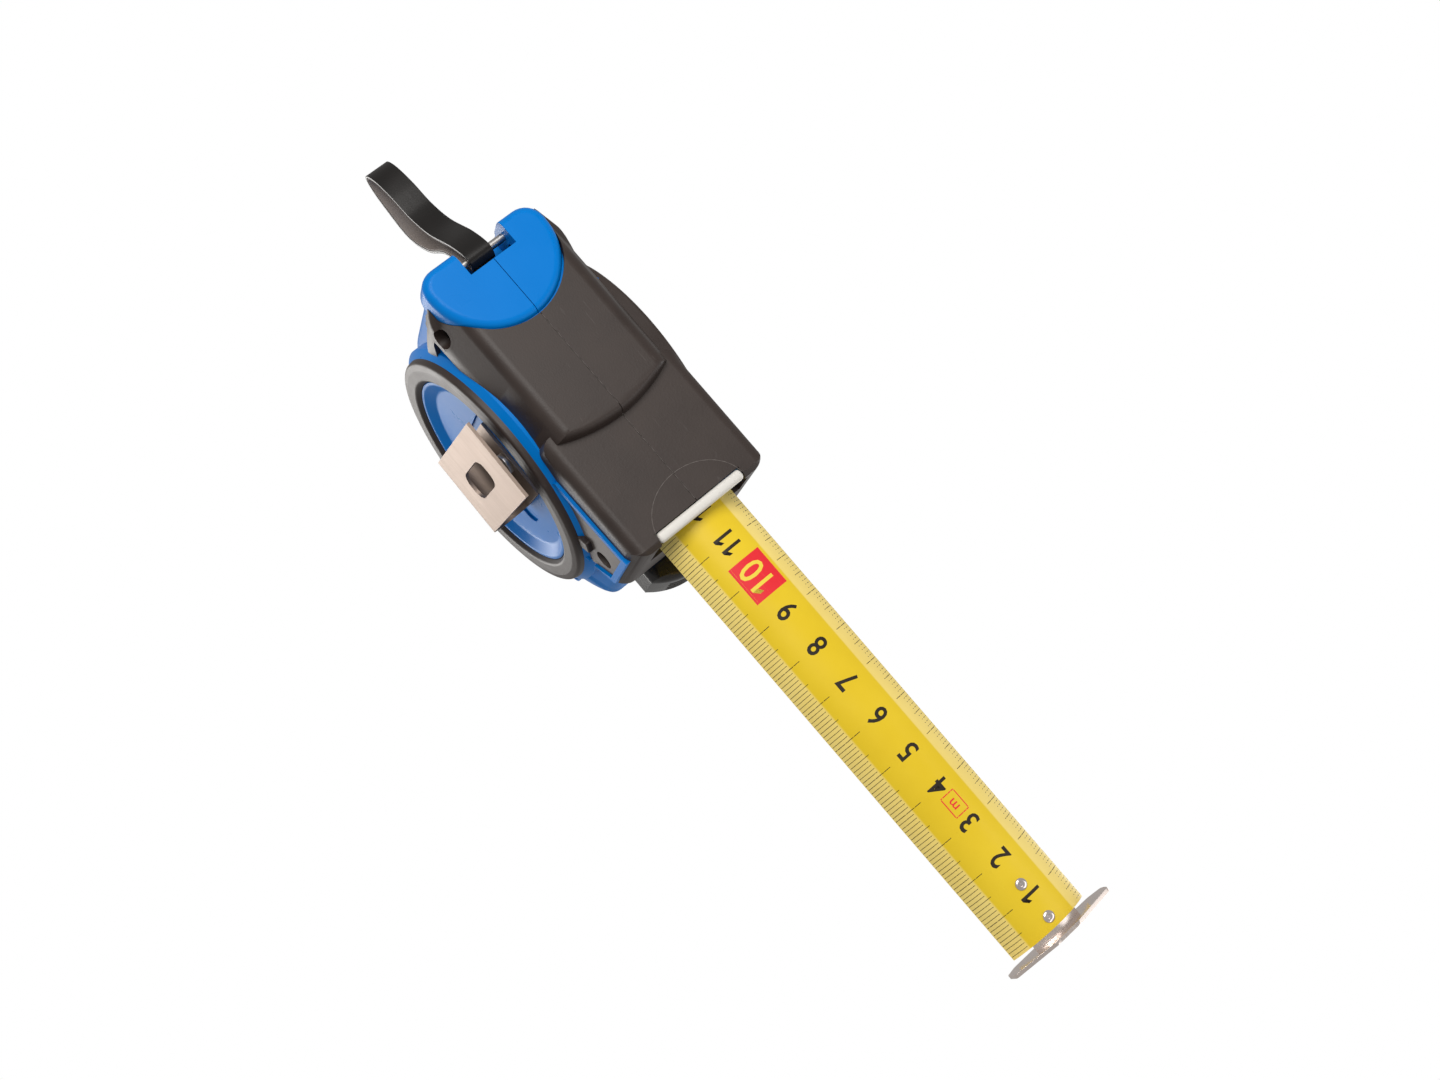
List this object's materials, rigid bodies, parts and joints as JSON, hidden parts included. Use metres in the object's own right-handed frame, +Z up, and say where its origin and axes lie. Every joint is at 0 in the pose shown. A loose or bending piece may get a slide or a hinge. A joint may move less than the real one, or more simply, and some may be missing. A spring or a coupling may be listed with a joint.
{
  "type": "tape measure",
  "caption": "Pocket tape measure with a pulled-out cupped metric blade, end hook, thumb lock, belt clip and wrist strap.",
  "frame": {"origin": "on the base plane, straight below the drum's axis, on the case's seam", "axes": "+Z up, +X along the blade towards the hook, +Y towards the belt clip"},
  "size_m": [0.2283, 0.0518, 0.0783],
  "materials": {
    "blue_plastic": "glossy blue ABS",
    "rubber": "matte charcoal TPR",
    "panel_rubber": "matte grey-brown TPR",
    "black_plastic": "glossy black ABS",
    "nylon": "off-white nylon",
    "steel": "satin plated steel",
    "bright_steel": "polished plated steel",
    "tape_steel": "yellow lacquered steel with printed scale",
    "spring_steel": "blued spring steel",
    "drum_plastic": "moulded acetal",
    "strap_pvc": "flexible PVC"
  },
  "bodies": {
    "case": {"shell_left": "blue_plastic", "shell_right": "blue_plastic", "grip_left": "rubber", "grip_right": "rubber", "inlay_left": "panel_rubber", "inlay_right": "panel_rubber", "crown_pad": "rubber", "ring_left": "rubber", "ring_right": "rubber", "disc_left": "blue_plastic", "disc_right": "blue_plastic", "belt_clip": "steel", "clip_screw": "steel", "case_screws": "steel", "centre_post": "steel", "washer_left": "nylon", "washer_right": "nylon", "mouth_strip": "nylon", "mouth_bumper": "rubber", "strap_pin": "steel", "detent_spring": "spring_steel"},
    "drum": {"drum": "drum_plastic", "drum_lid": "drum_plastic", "tape_coil": "tape_steel", "mainspring": "spring_steel"},
    "tape": {"tape_blade": "tape_steel", "hook_rivets": "bright_steel"},
    "hook": {"end_hook": "bright_steel"},
    "lock": {"thumb_lock": "black_plastic", "lock_lever": "black_plastic", "brake_pad": "rubber"},
    "strap": {"wrist_strap": "strap_pvc"}
  },
  "joints": [
    {"name": "drum_spin", "type": "hinge", "parent": "case", "child": "drum", "pos_m": [0, 0, 0.04], "axis": [0, 1, 0], "range_deg": [0, 253.6], "deforming": ["mainspring"]},
    {"name": "blade_slide", "type": "slide", "parent": "case", "child": "tape", "axis": [1, 0, 0], "range_m": [-0.1161, 0], "deforming": ["tape_blade"]},
    {"name": "hook_play", "type": "slide", "parent": "tape", "child": "hook", "axis": [1, 0, 0], "range_m": [-0.0008, 0.0008]},
    {"name": "lock_slide", "type": "slide", "parent": "case", "child": "lock", "axis": [0, 0, 1], "range_m": [0, 0.005]},
    {"name": "strap_swing", "type": "hinge", "parent": "case", "child": "strap", "pos_m": [-0.034, 0, 0.0046], "axis": [0, 1, 0], "range_deg": [-80, 10]}
  ],
  "couplings": [
    {"joint": "blade_slide", "follows": "drum_spin", "m_per_rad": -0.0262}
  ]
}
